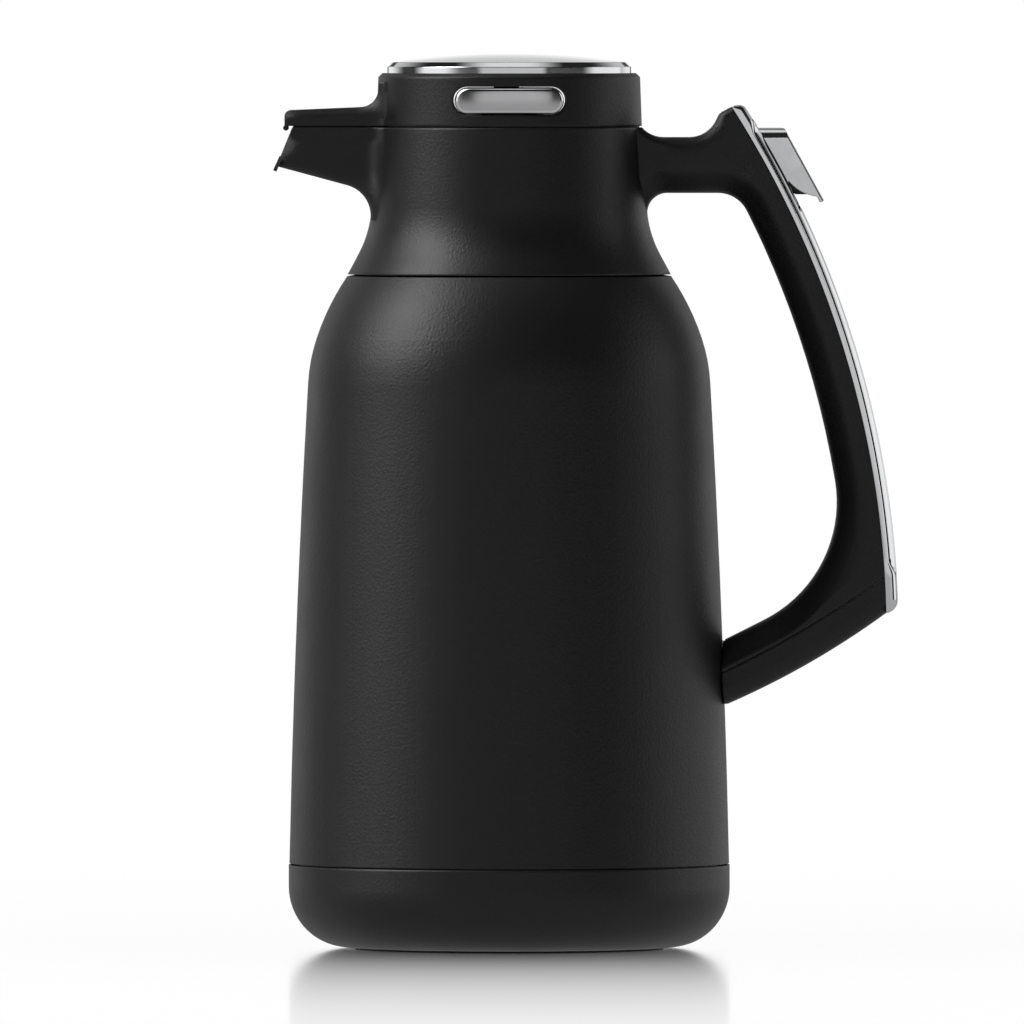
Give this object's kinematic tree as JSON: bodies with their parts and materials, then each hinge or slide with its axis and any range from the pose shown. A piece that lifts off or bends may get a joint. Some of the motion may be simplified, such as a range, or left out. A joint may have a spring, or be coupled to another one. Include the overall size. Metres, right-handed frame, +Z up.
{
  "type": "insulated beverage dispenser",
  "caption": "Double-walled steel vacuum carafe with a pouring spout, a chrome-trimmed side handle, a thumb lever that opens the valve, and a lid released by side buttons.",
  "frame": {"origin": "centre of the foot, on the surface that the carafe stands on", "axes": "+Z up, -X towards the spout, +X towards the handle, -Y the side in the picture"},
  "size_m": [0.2029, 0.1432, 0.2903],
  "materials": {
    "black_moulding": "black polypropylene with a fine moulded grain",
    "black_paint": "black textured powder coat on steel",
    "chrome_plate": "bright and satin chrome plating on plastic",
    "stainless": "electropolished stainless steel",
    "silicone": "grey silicone",
    "foot_rubber": "dull black rubber"
  },
  "bodies": {
    "carafe": {"base_cup": "black_moulding", "foot_pad": "foot_rubber", "outer_shell": "black_paint", "outer_bottom": "stainless", "vacuum_seal": "stainless", "inner_flask": "stainless", "getter": "stainless", "neck_gasket": "silicone", "handle_bracket": "stainless", "handle_screw": "stainless", "collar_handle": "black_moulding", "handle_lower_cover": "black_moulding", "trim_rail": "chrome_plate", "trim_insert": "chrome_plate", "lever_pin": "stainless"},
    "thumb_lever": {"thumb_button": "chrome_plate", "lever_arm": "black_moulding"},
    "lid": {"lid_shell": "black_moulding", "lid_top_plate": "chrome_plate", "latch_springs": "stainless", "stopper_body": "black_moulding", "stopper_gasket": "silicone", "valve_spring": "stainless"},
    "release_front": {"release_button_front": "chrome_plate", "latch_front": "black_moulding"},
    "release_back": {"release_button_back": "chrome_plate", "latch_back": "black_moulding"},
    "valve": {"valve_seal": "silicone", "valve_stem": "black_moulding", "spring_cap": "black_moulding"}
  },
  "joints": [
    {"name": "thumb_press", "type": "hinge", "parent": "carafe", "child": "thumb_lever", "pos_m": [0.07649, 0, 0.254], "axis": [0, 1, 0], "range_deg": [0, 8], "stiffness_Nm_per_rad": 0.6, "springref_deg": -4.58},
    {"name": "lid_lift", "type": "slide", "parent": "carafe", "child": "lid", "axis": [0, 0, 1], "range_m": [0, 0.09]},
    {"name": "valve_lift", "type": "slide", "parent": "lid", "child": "valve", "axis": [0, 0, 1], "range_m": [0, 0.0057], "stiffness_N_per_m": 5, "springref_m": -0.001, "deforming": ["valve_spring"]},
    {"name": "release_front_press", "type": "slide", "parent": "lid", "child": "release_front", "axis": [0, 1, 0], "range_m": [0, 0.0025], "stiffness_N_per_m": 800, "springref_m": -0.001, "deforming": ["latch_springs"]},
    {"name": "release_back_press", "type": "slide", "parent": "lid", "child": "release_back", "axis": [0, -1, 0], "range_m": [0, 0.0025], "stiffness_N_per_m": 800, "springref_m": -0.001, "deforming": ["latch_springs"]}
  ],
  "couplings": [
    {"joint": "thumb_press", "follows": "valve_lift", "rad_per_m": 24.39}
  ]
}
